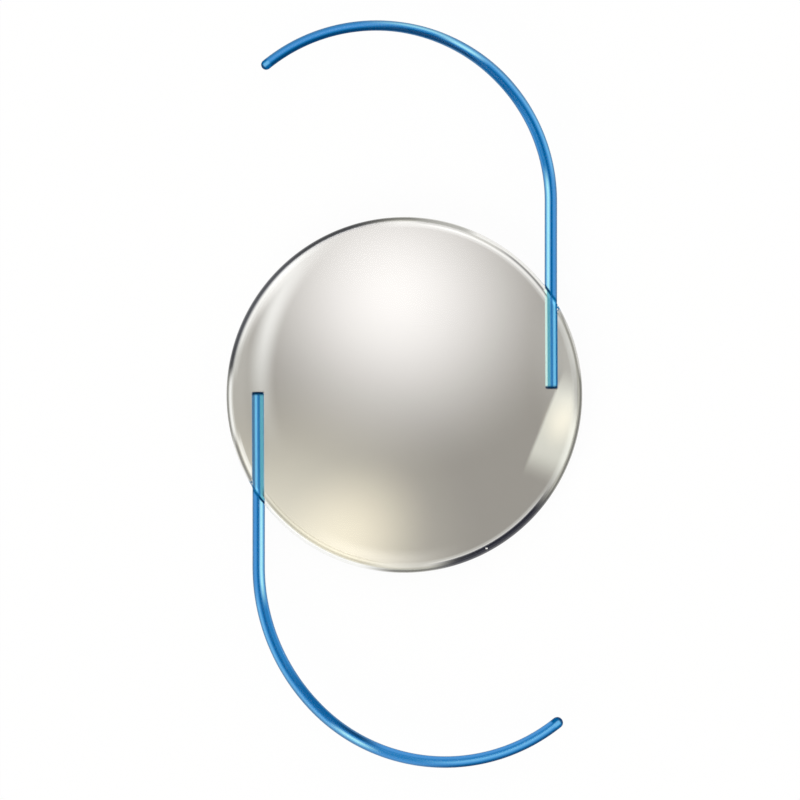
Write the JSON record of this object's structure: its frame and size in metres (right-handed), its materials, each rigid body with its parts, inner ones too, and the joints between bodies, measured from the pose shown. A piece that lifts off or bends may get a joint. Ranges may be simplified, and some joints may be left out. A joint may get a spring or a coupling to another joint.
{
  "type": "intraocular lens",
  "caption": "Clear biconvex disc lens for implanting in an eye, with slim round blue C-shaped support loops seated in its rim and reaching out on opposite sides.",
  "frame": {"origin": "crown of the optic's back face, on the optical axis, where the lens touches the surface it lies on", "axes": "+Z along the optical axis towards the front (anterior) face, +Y towards the trailing haptic's loop, +X towards the trailing haptic's stem"},
  "size_m": [0.006, 0.0126, 0.0011],
  "materials": {
    "optic": "clear polished soft acrylic, faintly smoky",
    "haptic": "polished translucent blue monofilament"
  },
  "bodies": {
    "root": {"optic": "optic", "trailing_haptic": "haptic", "leading_haptic": "haptic"}
  },
  "joints": []
}
